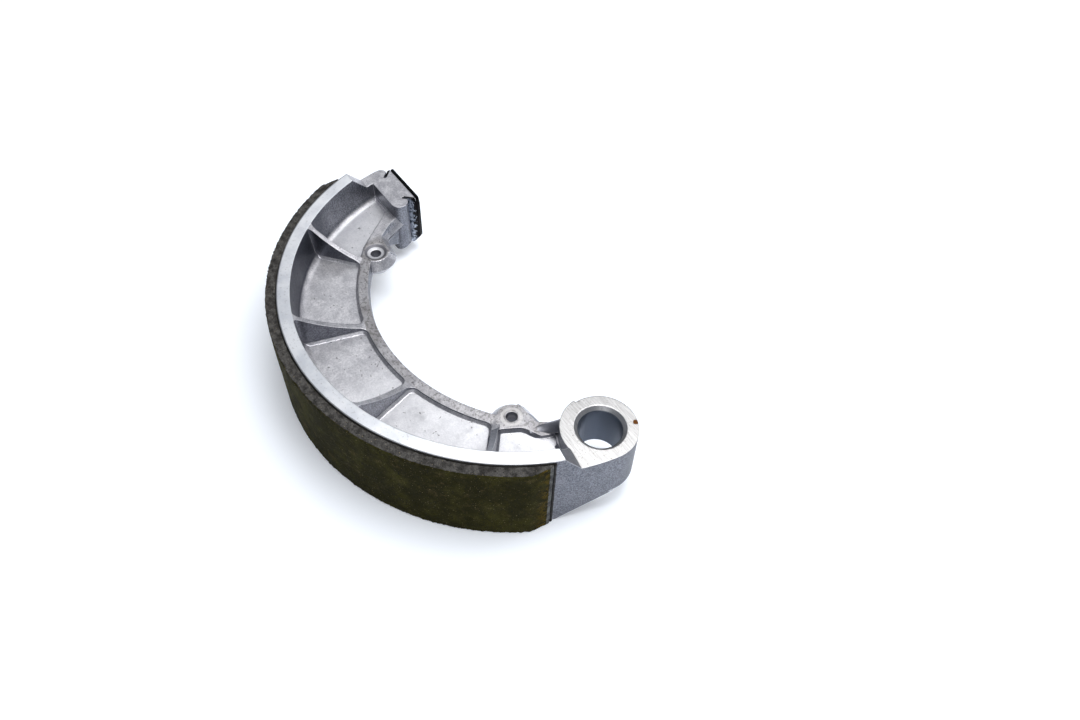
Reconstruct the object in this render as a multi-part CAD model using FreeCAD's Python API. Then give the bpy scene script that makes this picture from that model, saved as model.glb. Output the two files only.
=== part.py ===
import FreeCAD, Part
import math
import os

os.makedirs("parts", exist_ok=True)

# A cast drum brake shoe with its bonded lining and the steel slipper that the cam bears on.
# Lengths in mm, angles in degrees. The origin is the centre of the pivot bore on the plane of
# the web. X runs along the brake's centre line from the pivot to the cam, Y points to the
# lining, and Z is the brake's axis, up on the side that carries the machined pad face.
# Angles round the drum are measured about the drum's centre, from X towards Y.

# Drum, lining and table
drum_radius = 90.0
lining_thickness = 3.8
bond_thickness = 0.3
table_width_above_web = 16.85
table_width_below_web = 20.2
table_edge_thickness = 4.8
table_wall_lean = 1.1
table_root_radius = 3.2
lining_inset_top = 0.65
lining_start = 20.2
lining_end = 154.6
lining_chamfer_angle = 4.6
lining_end_thickness = 1.1
bond_squeeze_out = 0.6

# Pivot eye
eye_radius = 12.9
pivot_offset = 13.0
bore_radius = 7.5
bore_chamfer = 1.5
eye_thickness = 20.0
eye_face_overlap = 0.9
eye_facet_run = 5.6
eye_facet_start = 18.6
eye_sweep_start = 20.4
eye_sweep_end = -6.0
eye_sweep_sag = 2.1

# Web, flange and ribs
web_thickness = 3.9
flange_thickness = 7.2
crown_depth = 33.5
flange_inner_radius = 70.7
flange_width = 3.8
flange_draft = 0.5
middle_rib_angles = (106.7, 73.9)
eye_rib_turn = 5.13
cam_rib_turn = 6.13
rib_top_thickness = 1.6
rib_top_sag = 1.7

# Pockets
pocket_draft = 1.5
pocket_floor_chamfer = 0.9
pocket_wall_radius = 2.0
pocket_flange_radius = 2.8
pocket_lug_radius = 5.0
pocket_rib_radius = 1.5
pocket_boss_gap = 0.3
pocket_boss_half_turn = 14.0
pocket_pad_gap = 0.4
pocket_pad_setback = 8.7
pocket_hole_reach = 5.8
eye_pocket_corner_drop = 0.6
eye_pocket_rise = 5.4
cam_pocket_rise = 3.8
cam_pocket_bend_reach = 7.6
cam_pocket_bend_rise = 1.2

# Spring lugs
spring_hole_from_pivot = 23.633
spring_hole_inset = 0.6
spring_hole_radius = 2.1
lug_root_radius = 7.8
lug_top_radius = 5.2
countersink_radius = 4.4
countersink_floor_radius = 2.9
countersink_depth = 0.9

# Necks between the lugs and the two ends
neck_slope = 34.0
neck_lug_drop = 7.1
neck_lug_reach = 6.2
neck_lug_overlap = 3.2
eye_neck_reach = 13.0
eye_neck_rise = 10.9
eye_neck_radius = 4.0
pad_neck_reach = 7.2
pad_neck_drop = 8.5
pad_neck_radius = 4.5
neck_edge_radius = 1.0

# Cam end
cam_face_height = 5.4
cam_face_length = 26.3
cam_face_inset = 0.7
pad_above_web = 9.6
pad_below_web = 12.0
pad_depth = 11.0
pad_lobe_radius = 3.5
pad_lobe_setback = 4.1
pad_tip_radius = 2.7
pad_tip_height = 11.6
pad_tip_inset = 0.8
pad_facet_start = 26.0
pad_facet_run = 6.3
pad_sweep_start = 27.0
pad_sweep_run = 15.0
slipper_thickness = 0.9
slipper_above_web = 8.45
slipper_below_web = 13.9
slipper_wing_length = 7.6
slipper_bend_radius = 0.8
slipper_wing_angle = 46.0
slipper_corner = 2.6
slipper_clipped_corner = 6.0
slipper_fit = 0.12

# Allowances for cutters and fillers, which leave no mark on the part
overrun = 5.0
angle_overrun = 5.0
wall_overcut = 0.5
root_sink = 0.02
rib_allowance = 0.15

# Values worked out from the sizes above
UP = FreeCAD.Vector(0, 0, 1)
table_radius = drum_radius - lining_thickness - bond_thickness
outside = table_radius + overrun
pivot_radius = table_radius - eye_radius
centre_x = math.sqrt(pivot_radius ** 2 - pivot_offset ** 2)
centre_y = -pivot_offset
pivot_angle = math.degrees(math.asin(pivot_offset / pivot_radius))
pivot = FreeCAD.Vector(0, 0, 0)
CENTRE = FreeCAD.Vector(centre_x, centre_y, 0)
table_top = table_width_above_web
table_bottom = -table_width_below_web
table_end_angle = math.degrees(math.asin(pad_tip_height / table_radius))
wall_top_radius = table_radius - table_edge_thickness
eye_half = eye_thickness / 2
eye_face_radius = eye_radius + eye_face_overlap
flange_half = flange_thickness / 2
web_half = web_thickness / 2
flange_outer_radius = flange_inner_radius + flange_width
flange_centre_drop = flange_inner_radius - (table_radius - crown_depth)
flange_centre = CENTRE - FreeCAD.Vector(0, flange_centre_drop, 0)
stock_inner_radius = flange_inner_radius / 2
spring_hole_reach = centre_x - spring_hole_from_pivot
spring_hole_arc = flange_inner_radius - spring_hole_inset
spring_hole_height = math.sqrt(spring_hole_arc ** 2 - spring_hole_reach ** 2) - flange_centre_drop
spring_hole_distance = math.hypot(spring_hole_reach, spring_hole_height)
spring_hole_angle = math.degrees(math.atan2(spring_hole_height, spring_hole_reach))
eye_rib_angle = 180.0 - spring_hole_angle - eye_rib_turn
cam_rib_angle = spring_hole_angle + cam_rib_turn
rib_angles = (eye_rib_angle,) + middle_rib_angles + (cam_rib_angle,)
cam_face_end = table_radius - cam_face_inset
cam_face_start = cam_face_end - cam_face_length
pad_face_height = cam_face_height + slipper_thickness
pad_back_height = cam_face_height + pad_depth
pad_lobe_reach = cam_face_start + pad_lobe_setback
pad_lobe_height = pad_back_height - pad_lobe_radius


def at(u, w, z=0.0):
    """Point given from the drum's centre: u along X, w along Y."""
    return FreeCAD.Vector(centre_x + u, centre_y + w, z)


def polar(radius, angle, z=0.0):
    """Point at a radius and an angle about the drum's centre."""
    turn = math.radians(angle)
    return at(radius * math.cos(turn), radius * math.sin(turn), z)


def direction(angle):
    """Unit vector in the plane of the web."""
    turn = math.radians(angle)
    return FreeCAD.Vector(math.cos(turn), math.sin(turn), 0)


def beside(point, right, up):
    """Point moved along X and Y."""
    return point + FreeCAD.Vector(right, up, 0)


def lifted(point, z):
    """The same point at another height."""
    return FreeCAD.Vector(point.x, point.y, z)


def closed_wire(steps):
    """Closed wire. A step is a corner, or a pair of a bend's middle and its end."""
    edges = []
    here = steps[0]
    for step in list(steps[1:]) + [steps[0]]:
        if isinstance(step, tuple):
            middle, end = step
            edges.append(Part.Arc(here, middle, end).toShape())
        else:
            end = step
            edges.append(Part.makeLine(here, end))
        here = end
    return Part.Wire(edges)


def prism(steps, low, high):
    """Straight block on a closed outline between two heights."""
    foot = []
    for step in steps:
        bend = isinstance(step, tuple)
        foot.append(tuple(lifted(point, low) for point in step) if bend else lifted(step, low))
    return Part.Face(closed_wire(foot)).extrude(UP * (high - low))


def disc(centre, radius, low, high):
    """Upright cylinder between two heights."""
    return Part.makeCylinder(radius, high - low, lifted(centre, low), UP)


def section(steps, place):
    """Face on an outline of number pairs, each set in space by place. A pair of pairs is a bend."""
    corners = []
    for step in steps:
        bend = isinstance(step[0], tuple)
        corners.append(tuple(place(*pair) for pair in step) if bend else place(*step))
    return Part.Face(closed_wire(corners))


def along_x(steps, low, high):
    """Block with its section in the plane of Y and Z, drawn out along X."""
    face = section(steps, lambda y, z: FreeCAD.Vector(low, y, z))
    return face.extrude(FreeCAD.Vector(high - low, 0, 0))


def round_drum(steps, start, end):
    """Block with its section given as radius and height, turned about the drum's centre."""
    face = section(steps, lambda radius, z: FreeCAD.Vector(radius, 0, z))
    block = face.revolve(FreeCAD.Vector(0, 0, 0), UP, end - start)
    block.rotate(FreeCAD.Vector(0, 0, 0), UP, start)
    block.translate(CENTRE)
    return block


def ring_sector(inner, outer, low, high, start, end):
    """Sector of a ring about the drum's centre."""
    return round_drum([(inner, low), (outer, low), (outer, high), (inner, high)], start, end)


def fused(shapes):
    """One solid from several that overlap."""
    return shapes[0].fuse(shapes[1:]).removeSplitter()


def edge_height(side):
    """Distance from the plane of the web to the table's upper or lower edge."""
    return table_width_above_web if side > 0 else table_width_below_web


spring_holes = (at(-spring_hole_reach, spring_hole_height), at(spring_hole_reach, spring_hole_height))


def flange_bore(side):
    """Space inside the flange: its inner face leans back from the plane of the web."""
    tall = table_width_below_web + overrun
    spread = flange_draft * tall / flange_half
    inner = flange_inner_radius - flange_draft
    return Part.makeCone(inner, inner + spread, tall, flange_centre, UP * side)


def crescent_stock():
    """Crescent of full width outside the flange, and of the flange's thickness inside its edge."""
    last = 180.0 - pivot_angle
    stock = ring_sector(stock_inner_radius, table_radius, table_bottom, table_top, table_end_angle, last)
    margin = math.degrees((rib_half_at_foot(-1) + rib_allowance) / spring_hole_distance)
    beyond_ribs = (
        (table_end_angle - angle_overrun, cam_rib_angle - margin),
        (eye_rib_angle + margin, last + angle_overrun),
    )
    cuts = []
    for side in (1, -1):
        low, high = sorted((side * flange_half, side * (table_width_below_web + overrun)))
        cuts.append(flange_bore(side))
        cuts.append(disc(flange_centre, flange_outer_radius, low, high))
        for start, end in beyond_ribs:
            cuts.append(ring_sector(stock_inner_radius - overrun, wall_top_radius, low, high, start, end))
    return stock.cut(cuts)


def eye_stock():
    """Eye boss, its spot face and the block that joins it to the table, still at full width."""
    reach = 2 * eye_face_radius
    towards_table = 180.0 - pivot_angle
    boss = disc(pivot, eye_radius, table_bottom, table_top)
    body_side = [
        pivot,
        direction(pocket_boss_half_turn - pivot_angle) * eye_face_radius,
        direction(pocket_boss_half_turn - pivot_angle) * reach,
        direction(90.0 - pivot_angle) * reach * 1.5,
        direction(towards_table) * reach,
    ]
    spot = disc(pivot, eye_face_radius, table_bottom, table_top)
    spot = spot.common(prism(body_side, table_bottom, table_top))
    bridge = [
        polar(outside, towards_table),
        pivot,
        boss_edge(1),
        polar(wall_top_radius, eye_end_angle(wall_top_radius)),
        polar(wall_top_radius, lining_end),
        polar(outside, lining_end),
    ]
    block = fused([boss, spot, prism(bridge, table_bottom, table_top)])
    return block.common(disc(CENTRE, table_radius, table_bottom, table_top))


def eye_end_angle(radius):
    """Angle at which the slope down to the eye starts on a circle about the drum's centre."""
    return 180.0 - pivot_angle - math.degrees(math.asin(eye_facet_start / radius))


def boss_edge(turn):
    """Point of the eye pocket beside the spot face: turn 1 by the table, -1 by the neck."""
    return direction(90.0 - pivot_angle + turn * pocket_boss_half_turn) * (eye_face_radius + pocket_boss_gap)


def eye_facets():
    """Space above and below the eye, with the slopes that run up to the table."""
    reach = 2 * eye_face_radius
    top = along_x([
        (-reach, eye_half),
        (eye_facet_start - eye_facet_run, eye_half),
        (eye_facet_start, table_top),
        (eye_facet_start, table_top + overrun),
        (-reach, table_top + overrun),
    ], -reach, reach)
    middle = ((eye_sweep_start + eye_sweep_end) / 2, (table_bottom - eye_half) / 2 + eye_sweep_sag)
    bottom = along_x([
        (eye_sweep_start, table_bottom),
        (middle, (eye_sweep_end, -eye_half)),
        (-reach, -eye_half),
        (-reach, table_bottom - overrun),
        (eye_sweep_start, table_bottom - overrun),
    ], -reach, reach)
    both = top.fuse(bottom)
    both.rotate(pivot, UP, -pivot_angle)
    upper_face = disc(pivot, eye_face_radius, eye_half, table_top + overrun)
    lower_face = disc(pivot, eye_radius, table_bottom - overrun, -eye_half)
    return both.fuse([upper_face, lower_face])


def pad_facets():
    """Space above and below the cam pad, with the slopes that run up to the table."""
    low_u = centre_x + spring_hole_reach
    high_u = centre_x + outside
    back = centre_y - overrun
    top_start = centre_y + pad_facet_start
    bottom_start = centre_y + pad_sweep_start
    top = along_x([
        (back, pad_above_web),
        (top_start - pad_facet_run, pad_above_web),
        (top_start, table_top),
        (top_start, table_top + overrun),
        (back, table_top + overrun),
    ], low_u, high_u)
    bottom = along_x([
        (back, -pad_below_web),
        (bottom_start - pad_sweep_run, -pad_below_web),
        (bottom_start, table_bottom),
        (bottom_start, table_bottom - overrun),
        (back, table_bottom - overrun),
    ], low_u, high_u)
    return top.fuse(bottom)


def lug(hole):
    """Spring lug: two cones that meet on the plane of the web."""
    upper = Part.makeCone(lug_root_radius, lug_top_radius, flange_half, hole, UP)
    lower = Part.makeCone(lug_root_radius, lug_top_radius, flange_half, hole, -UP)
    return upper.fuse(lower)


def sloped_neck(plan, hollow):
    """Bridge of the flange's thickness, with a hollow in its side that widens both ways from the web."""
    bridge = prism(plan, -flange_half, flange_half)
    return bridge.cut([flared(hollow, 0.0, side, flange_half + overrun, neck_slope) for side in (1, -1)])


def eye_neck():
    """Neck between the eye and the first spring lug."""
    hole = spring_holes[0]
    plan = [
        beside(hole, neck_lug_overlap, lug_top_radius),
        beside(hole, neck_lug_overlap, -2 * lug_top_radius),
        FreeCAD.Vector(eye_neck_reach, 0, 0),
        pivot,
        boss_edge(1),
    ]
    hollow = [
        (beside(hole, neck_lug_reach, -neck_lug_drop), neck_edge_radius),
        (FreeCAD.Vector(eye_neck_reach, eye_neck_rise, 0), eye_neck_radius),
        (FreeCAD.Vector(eye_radius - neck_edge_radius, -overrun, 0), neck_edge_radius),
        (beside(hole, neck_lug_reach, -hole.y - overrun), neck_edge_radius),
    ]
    return sloped_neck(plan, hollow)


def pad_neck():
    """Neck between the second spring lug and the pad."""
    hole = spring_holes[1]
    lobe = at(pad_lobe_reach, pad_lobe_height)
    below = pad_lobe_height - cam_face_height
    plan = [
        beside(hole, -neck_lug_overlap, lug_top_radius),
        polar(wall_top_radius, spring_hole_angle - angle_overrun),
        beside(lobe, pad_depth, 0),
        beside(lobe, -pad_lobe_setback, 0),
        beside(hole, -neck_lug_overlap, -2 * lug_top_radius),
    ]
    hollow = [
        (beside(hole, -neck_lug_reach, lobe.y - hole.y - below), neck_edge_radius),
        (beside(lobe, 0, -below), neck_edge_radius),
        (beside(hole, pad_neck_reach, -pad_neck_drop), pad_neck_radius),
        (beside(hole, -neck_lug_reach, -neck_lug_drop), neck_edge_radius),
    ]
    return sloped_neck(plan, hollow)


def slipper_corners(grow):
    """Plan of the folded strip, moved out by grow: for each wing its outer and inner edge."""
    mitre = math.tan(math.radians((180.0 - slipper_wing_angle) / 2))
    thick = slipper_thickness + grow
    edges = []
    for side, corner_u in ((1, cam_face_start), (-1, cam_face_end)):
        along = direction(slipper_wing_angle if side > 0 else 180.0 - slipper_wing_angle)
        across = FreeCAD.Vector(along.y, -along.x, 0) * side
        tip = at(corner_u, cam_face_height) + along * (slipper_wing_length + grow)
        outer = (at(corner_u - side * grow * mitre, cam_face_height - grow), tip - across * grow)
        inner = (at(corner_u + side * thick * mitre, cam_face_height + thick), tip + across * thick)
        edges.append((outer, inner))
    return edges


def cam_slipper():
    """Hardened steel cap: a strip folded into a dovetail that grips the pad."""
    low = -slipper_below_web
    high = slipper_above_web
    (outer_1, inner_1), (outer_2, inner_2) = slipper_corners(0.0)
    plan = [outer_1[1], outer_1[0], outer_2[0], outer_2[1], inner_2[1], inner_2[0], inner_1[0], inner_1[1]]
    cap = prism(plan, low, high)
    bends = [edge for edge in cap.Edges if is_upright(edge) and is_near(edge, (outer_1[0], outer_2[0]))]
    cap = cap.makeFillet(slipper_bend_radius, bends)
    front = centre_y + cam_face_height - slipper_thickness
    for u, z, size, inward, rise in (
        (cam_face_start, high, slipper_corner, 1, -1),
        (cam_face_end, high, slipper_corner, -1, -1),
        (cam_face_start, low, slipper_corner, 1, 1),
        (cam_face_end, low, slipper_clipped_corner, -1, 1),
    ):
        x = centre_x + u
        wedge = section([
            (x - inward, z - rise),
            (x + inward * size, z - rise),
            (x + inward * size, z),
            (x, z + rise * size),
            (x - inward, z + rise * size),
        ], lambda across, height: FreeCAD.Vector(across, front, height))
        cap = cap.cut(wedge.extrude(FreeCAD.Vector(0, slipper_wing_length / 2, 0)))
    return cap


def is_upright(edge):
    """True for a straight edge along Z."""
    if len(edge.Vertexes) != 2:
        return False
    span = edge.Vertexes[1].Point - edge.Vertexes[0].Point
    return abs(span.x) < 1e-6 and abs(span.y) < 1e-6


def is_near(edge, corners):
    """True for an upright edge that stands on one of the corners."""
    foot = lifted(edge.Vertexes[0].Point, 0)
    return any((foot - corner).Length < 1e-3 for corner in corners)


def pad_stock():
    """Pad with its two lobes, still at full width and without the slots for the slipper."""
    inner_lobe = at(pad_lobe_reach, pad_lobe_height)
    outer_lobe = at(table_radius - pad_tip_radius - pad_tip_inset, pad_tip_height - pad_tip_inset)
    (_, inner_1), (_, inner_2) = slipper_corners(0.0)
    plan = [
        inner_1[0], inner_2[0], inner_2[1], outer_lobe,
        polar(outside, table_end_angle),
        at(outside, pad_back_height),
        at(pad_lobe_reach, pad_back_height),
        inner_lobe, inner_1[1],
    ]
    pieces = [
        prism(plan, table_bottom, table_top),
        disc(inner_lobe, pad_lobe_radius, table_bottom, table_top),
        disc(outer_lobe, pad_tip_radius, table_bottom, table_top),
    ]
    return fused(pieces).common(disc(CENTRE, table_radius, table_bottom, table_top))


def wing_slots():
    """Slots that the slipper's wings slide into."""
    cuts = []
    for outer, inner in slipper_corners(slipper_fit):
        cuts.append(prism([outer[0], outer[1], inner[1], inner[0]], table_bottom - overrun, table_top + overrun))
    return cuts


def rounded_outline(corners, z):
    """Closed wire through corners given as point and radius, or as point, radius and the bend before it."""
    steps = []
    for corner in corners:
        point = corner[0]
        steps.append((corner[2], point) if len(corner) > 2 else point)
    block = prism(steps, 0.0, 1.0)
    for radius in sorted({corner[1] for corner in corners}):
        places = [corner[0] for corner in corners if corner[1] == radius]
        upright = [edge for edge in block.Edges if is_upright(edge) and is_near(edge, places)]
        block = block.makeFillet(radius, upright)
    foot = [face for face in block.Faces if all(abs(v.Z) < 1e-6 for v in face.Vertexes)][0]
    wire = foot.OuterWire
    wire.translate(UP * z)
    return wire


def flared(corners, base, side, tall, slope):
    """Space on a rounded outline that widens by a slope on every side as it leaves its base."""
    foot = rounded_outline(corners, side * base)
    mouth = foot.makeOffset2D(tall * math.tan(math.radians(slope)))
    mouth.translate(UP * (side * tall))
    return Part.makeLoft([foot, mouth], True, True)


def drafted_pocket(corners, side):
    """Cavity that opens outwards by the draft angle, with a sloped foot."""
    cavity = flared(corners, web_half, side, edge_height(side) + overrun - web_half, pocket_draft)
    floor = [e for e in cavity.Edges if all(abs(v.Z - side * web_half) < 1e-6 for v in e.Vertexes)]
    return cavity.makeChamfer(pocket_floor_chamfer, floor)


def draft_at_foot(side):
    """How far a pocket's wall comes in between the table's edge and the web."""
    return (edge_height(side) - web_half) * math.tan(math.radians(pocket_draft))


def rib_half_at_foot(side):
    """Half the thickness of a rib where it stands on the web."""
    return rib_top_thickness / 2 + draft_at_foot(side)


def pocket_wall(side):
    """Radius to which a pocket is first cut at its foot, past the table's finished inner face."""
    return wall_top_radius + wall_overcut - draft_at_foot(side)


def on_flank(rib, radius, half, turn):
    """Point at a radius on a rib's flank, half its thickness to one side of its middle line."""
    return polar(math.sqrt(radius ** 2 - half ** 2), rib) + direction(rib + 90.0 * turn) * half


def flange_point(angle):
    """Point on the flange's outer edge in the direction of an angle about the drum's centre."""
    turn = math.radians(angle)
    chord = flange_centre_drop * math.cos(turn)
    reach = math.sqrt(flange_outer_radius ** 2 - chord ** 2) - flange_centre_drop * math.sin(turn)
    return polar(reach, angle)


def flange_on_flank(rib, half, turn):
    """Corner where a rib's flank meets the flange's outer edge."""
    along = direction(rib)
    start = CENTRE + direction(rib + 90.0 * turn) * half
    reach = (start - flange_centre).dot(along)
    span = (start - flange_centre).Length
    return start + along * (math.sqrt(flange_outer_radius ** 2 - span ** 2 + reach ** 2) - reach)


def middle_pocket(first, second, side):
    """Pocket between two ribs, the first at the larger angle."""
    wall = pocket_wall(side)
    half = rib_half_at_foot(side)
    middle = (first + second) / 2
    return [
        (flange_on_flank(second, half, 1), pocket_flange_radius),
        (flange_on_flank(first, half, -1), pocket_flange_radius, flange_point(middle)),
        (on_flank(first, wall, half, -1), pocket_wall_radius),
        (on_flank(second, wall, half, 1), pocket_wall_radius, polar(wall, middle)),
    ]


def eye_pocket(side):
    """Pocket beside the eye: round the spot face, along the neck and behind the first lug."""
    wall = pocket_wall(side)
    half = rib_half_at_foot(side)
    end = eye_end_angle(wall)
    inner = spring_hole_distance + eye_pocket_rise
    return [
        (on_flank(eye_rib_angle, wall, half, 1), pocket_wall_radius),
        (polar(wall, end), pocket_wall_radius, polar(wall, (eye_rib_angle + end) / 2)),
        (boss_edge(1), pocket_wall_radius),
        (boss_edge(-1), pocket_wall_radius, boss_edge(0)),
        (beside(spring_holes[0], -pocket_hole_reach, -eye_pocket_corner_drop), pocket_lug_radius),
        (on_flank(eye_rib_angle, inner, half, 1), pocket_rib_radius),
    ]


def cam_pocket(side):
    """Pocket beside the pad, behind the second lug."""
    wall = pocket_wall(side)
    half = rib_half_at_foot(side)
    height = pad_back_height + pocket_pad_gap
    end = math.degrees(math.asin(height / wall))
    by_rib = on_flank(cam_rib_angle, spring_hole_distance + cam_pocket_rise, half, -1)
    by_pad = at(cam_face_start + pocket_pad_setback, height)
    along = (by_pad - by_rib).normalize()
    across = FreeCAD.Vector(-along.y, along.x, 0)
    return [
        (by_rib, pocket_rib_radius),
        (by_rib + along * cam_pocket_bend_reach + across * cam_pocket_bend_rise, pocket_lug_radius),
        (by_pad, pocket_wall_radius),
        (polar(wall, end), pocket_wall_radius),
        (on_flank(cam_rib_angle, wall, half, -1), pocket_wall_radius, polar(wall, (cam_rib_angle + end) / 2)),
    ]


def pockets():
    """The ten pockets, five on each side of the web."""
    cavities = []
    for side in (1, -1):
        cavities.append(drafted_pocket(eye_pocket(side), side))
        cavities.append(drafted_pocket(cam_pocket(side), side))
        for first, second in zip(rib_angles[:-1], rib_angles[1:]):
            cavities.append(drafted_pocket(middle_pocket(first, second, side), side))
    return cavities


def rib_top_cutter(angle, side):
    """Space above a rib, whose edge sweeps down in a hollow curve from the table to the flange."""
    edge = edge_height(side)
    foot = (flange_point(angle) - CENTRE).Length
    reach = rib_half_at_foot(side) + max(pocket_flange_radius, pocket_wall_radius) + rib_allowance
    middle = ((foot + wall_top_radius) / 2, (flange_half + edge) / 2 - rib_top_sag)
    wedge = section([
        (foot - overrun, flange_half),
        (foot, flange_half),
        (middle, (wall_top_radius, edge)),
        (wall_top_radius + wall_overcut, edge + overrun),
        (foot - overrun, edge + overrun),
    ], lambda radius, z: FreeCAD.Vector(radius, -reach, side * z)).extrude(FreeCAD.Vector(0, 2 * reach, 0))
    wedge.rotate(FreeCAD.Vector(0, 0, 0), UP, angle)
    wedge.translate(CENTRE)
    return wedge


def table_wall(side):
    """Inner face of the table behind the pockets: it leans back, and a wide cove runs along its foot."""
    edge = edge_height(side)
    foot = wall_top_radius - table_wall_lean
    lean = math.atan2(table_wall_lean, edge - web_half)
    floor = web_half - root_sink
    run = table_root_radius * math.tan((math.pi / 2 - lean) / 2)
    centre = (foot - run, floor + table_root_radius)
    turn = (lean - math.pi / 2) / 2
    middle = (
        centre[0] + table_root_radius * math.cos(turn),
        centre[1] + table_root_radius * math.sin(turn),
    )
    steps = [
        (centre[0], 0.0),
        (centre[0], floor),
        (middle, (foot + run * math.sin(lean), floor + run * math.cos(lean))),
        (wall_top_radius, edge),
        (wall_top_radius + 2 * wall_overcut, edge),
        (wall_top_radius + 2 * wall_overcut, 0.0),
    ]
    steps = [mirrored(step, side) for step in steps]
    boss = boss_edge(1) - CENTRE
    start = math.degrees(math.asin((pad_back_height - 2 * wall_overcut) / centre[0]))
    end = math.degrees(math.atan2(boss.y, boss.x))
    return round_drum(steps, start, end + wall_overcut)


def mirrored(step, side):
    """A corner or a bend of an outline, on the upper or the lower side of the web."""
    if isinstance(step[0], tuple):
        return tuple(mirrored(pair, side) for pair in step)
    return step[0], side * step[1]


def bores():
    """Pivot bore with its chamfers, the two spring holes and the countersink of the second."""
    cuts = [disc(pivot, bore_radius, -eye_thickness, eye_thickness)]
    for side in (1, -1):
        start = FreeCAD.Vector(0, 0, side * (eye_half - bore_chamfer))
        cuts.append(Part.makeCone(bore_radius, bore_radius + bore_chamfer, bore_chamfer, start, UP * side))
    for hole in spring_holes:
        cuts.append(disc(hole, spring_hole_radius, -flange_thickness, flange_thickness))
    start = lifted(spring_holes[1], flange_half - countersink_depth)
    cuts.append(Part.makeCone(countersink_floor_radius, countersink_radius, countersink_depth, start, UP))
    return cuts


def shoe_casting():
    """The whole casting: table, web, flange, ribs, lugs, pivot eye and cam pad."""
    blocks = [crescent_stock(), eye_stock(), pad_stock(), eye_neck(), pad_neck()]
    solid = fused(blocks + [lug(hole) for hole in spring_holes])
    solid = solid.cut(pockets())
    solid = solid.cut([rib_top_cutter(angle, side) for angle in rib_angles for side in (1, -1)])
    solid = fused([solid, table_wall(1), table_wall(-1)])
    solid = solid.cut([eye_facets(), pad_facets()])
    solid = solid.cut(wing_slots() + bores())
    return solid.removeSplitter()


def friction_lining():
    """Moulded lining with a long chamfer and a thin face at each end."""
    inner = table_radius + bond_thickness
    thin = inner + lining_end_thickness
    middle = (lining_start + lining_end) / 2
    plan = [
        polar(inner, lining_end),
        (polar(inner, middle), polar(inner, lining_start)),
        polar(thin, lining_start),
        polar(drum_radius, lining_start + lining_chamfer_angle),
        (polar(drum_radius, middle), polar(drum_radius, lining_end - lining_chamfer_angle)),
        polar(thin, lining_end),
    ]
    return prism(plan, table_bottom, table_top - lining_inset_top)


def bond_film():
    """Thin film of adhesive between the table and the lining, showing past its ends."""
    extra = math.degrees(bond_squeeze_out / table_radius)
    return ring_sector(
        table_radius, table_radius + bond_thickness, table_bottom,
        table_top - lining_inset_top, lining_start - extra, lining_end + extra,
    )


nodes = {
    "shoe_casting": shoe_casting,
    "friction_lining": friction_lining,
    "bond_film": bond_film,
    "cam_slipper": cam_slipper,
}
for name, make in nodes.items():
    make().exportStep("parts/" + name + ".step")
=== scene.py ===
import math

import bpy
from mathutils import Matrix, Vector


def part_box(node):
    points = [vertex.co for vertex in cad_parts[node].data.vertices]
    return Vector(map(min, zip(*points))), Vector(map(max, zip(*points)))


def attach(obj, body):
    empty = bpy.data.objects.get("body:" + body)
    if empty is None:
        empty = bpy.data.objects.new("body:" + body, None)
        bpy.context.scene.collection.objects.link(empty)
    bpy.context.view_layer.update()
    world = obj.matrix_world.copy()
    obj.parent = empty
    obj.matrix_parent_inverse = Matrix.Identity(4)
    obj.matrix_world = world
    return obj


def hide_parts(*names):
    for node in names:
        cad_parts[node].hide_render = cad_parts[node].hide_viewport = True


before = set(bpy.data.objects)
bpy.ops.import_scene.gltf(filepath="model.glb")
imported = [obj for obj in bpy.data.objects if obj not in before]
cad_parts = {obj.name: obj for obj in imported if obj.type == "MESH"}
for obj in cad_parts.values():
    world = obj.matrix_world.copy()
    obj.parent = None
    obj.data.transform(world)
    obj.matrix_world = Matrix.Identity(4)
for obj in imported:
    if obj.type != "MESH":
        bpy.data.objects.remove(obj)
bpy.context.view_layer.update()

# The camera looks down on the shoe from beside the pivot eye, over the lining's friction face,
# at 51 degrees from the horizontal. The shoe lies on the lower edge of its table.
camera_data = bpy.data.cameras.new("camera")
camera_data.sensor_width = 36.0
camera_data.lens = 29.2
camera_data.shift_x = 0.0031
camera_data.shift_y = -0.0011
camera_data.clip_start = 0.01
camera = bpy.data.objects.new("camera", camera_data)
camera.location = (-0.1185, 0.1193, 0.2497)
camera.rotation_euler = [math.radians(angle) for angle in (38.996, -1.892, -125.19)]
bpy.context.scene.collection.objects.link(camera)
bpy.context.scene.camera = camera
bpy.context.scene.view_settings.view_transform = "Standard"

# A white sheet on a table, with four soft lamps round it. The sheet takes the soft shadow of the
# shoe and is white beyond it, and metal shows it as the same white.
sheet_size = 12.0
ground_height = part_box("shoe_casting")[0][2]
shadow_middle = (0.07, 0.03, ground_height)
lamp_target = Vector((0.07, 0.02, 0.0))


def add_node(tree, kind, values=(), **settings):
    """Add one node, with its properties by name and its inputs as pairs of name and value or socket."""
    made = tree.nodes.new(kind)
    for name, value in settings.items():
        setattr(made, name, value)
    for name, value in values:
        if isinstance(value, bpy.types.NodeSocket):
            tree.links.new(value, made.inputs[name])
        else:
            made.inputs[name].default_value = value
    return made


def calculate(tree, operation, *values, clamp=False):
    """Add one arithmetic node and give its result."""
    made = add_node(tree, "ShaderNodeMath", enumerate(values), operation=operation, use_clamp=clamp)
    return made.outputs["Value"]


def multiply(tree, first, *others):
    """Multiply masks and shares with each other."""
    product = first
    for other in others:
        product = calculate(tree, "MULTIPLY", product, other)
    return product


def distance_from(tree, place, spot):
    """Give the distance of a place from one spot."""
    made = add_node(tree, "ShaderNodeVectorMath", [(0, place), (1, spot)], operation="DISTANCE")
    return made.outputs["Value"]


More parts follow.
